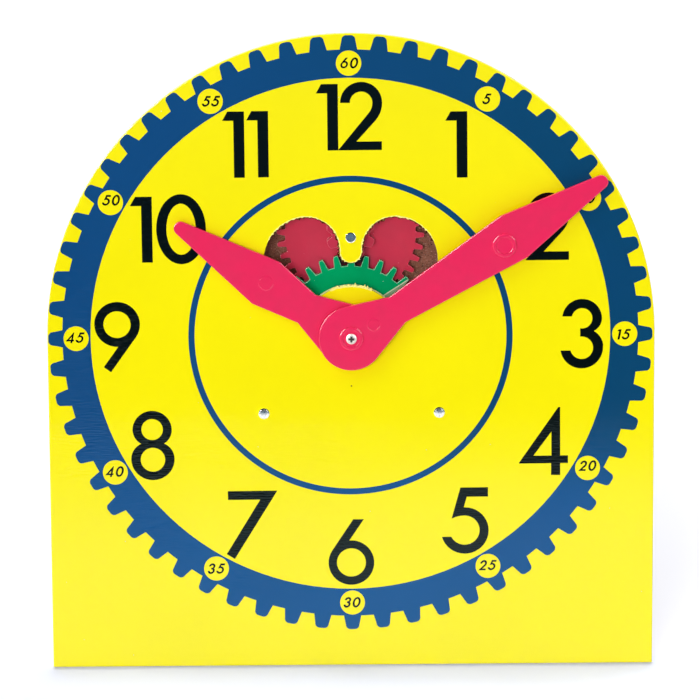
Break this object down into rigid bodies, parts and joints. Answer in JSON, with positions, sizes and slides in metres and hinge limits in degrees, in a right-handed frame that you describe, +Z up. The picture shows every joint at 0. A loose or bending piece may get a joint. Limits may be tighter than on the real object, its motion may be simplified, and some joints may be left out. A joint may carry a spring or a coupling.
{
  "type": "geared teaching clock",
  "caption": "Free-standing classroom clock face with geared hands behind a viewing window: turning the minute hand drives the hour hand through a visible gear train.",
  "frame": {"origin": "on the table under the clock, midway between the dial's lower front edge and the leg's foot, at the middle of the width", "axes": "+Z up; +Y towards the back of the clock, so the dial faces -Y and leans back by 12 degrees; +X to the right as the dial is read"},
  "size_m": [0.3238, 0.0866, 0.3364],
  "materials": {
    "dial_paint": "screen-printed gloss paint",
    "hardboard": "smooth hardboard",
    "pink_plastic": "moulded gloss",
    "red_plastic": "moulded gloss",
    "green_plastic": "moulded gloss",
    "nylon": "moulded",
    "nickel": "nickel plated",
    "steel": "turned",
    "zinc": "zinc plated",
    "wire": "zinc plated wire",
    "vinyl": "soft vinyl"
  },
  "bodies": {
    "frame": {"dial_board": "dial_paint", "dial_bush": "nylon", "back_plate": "hardboard", "rear_bush": "nylon", "dial_rivets": "nickel", "idler_post": "nickel", "plate_spacers": "steel", "rivet_washers": "steel", "stand_clip_left": "zinc", "stand_clip_right": "zinc", "clip_screws": "zinc"},
    "minute": {"minute_hand": "pink_plastic", "minute_arbor": "steel", "minute_pinion": "red_plastic", "hand_screw": "nickel", "hand_washer": "nylon", "spring_washer": "steel", "arbor_clip": "steel"},
    "hour": {"hour_hand": "pink_plastic", "hour_sleeve": "steel", "hour_gear": "green_plastic"},
    "idler": {"idler_gear": "red_plastic"},
    "stand": {"stand_leg": "wire", "leg_feet": "vinyl"}
  },
  "joints": [
    {"name": "minute_spin", "type": "hinge", "parent": "frame", "child": "minute", "pos_m": [0, -0.00583, 0.17819], "axis": [0, 0.9781, -0.2079], "continuous": true},
    {"name": "hour_spin", "type": "hinge", "parent": "frame", "child": "hour", "pos_m": [0, -0.00583, 0.17819], "axis": [0, 0.9781, -0.2079], "continuous": true},
    {"name": "idler_spin", "type": "hinge", "parent": "frame", "child": "idler", "pos_m": [0, 0.00525, 0.23033], "axis": [0, 0.9781, -0.2079], "continuous": true},
    {"name": "leg_fold", "type": "hinge", "parent": "frame", "child": "stand", "pos_m": [0, 0.00214, 0.16832], "axis": [1, 0, 0], "range_deg": [-25, 0]}
  ],
  "couplings": [
    {"joint": "idler_spin", "follows": "minute_spin", "ratio": -0.33333},
    {"joint": "hour_spin", "follows": "minute_spin", "ratio": 0.083333}
  ]
}
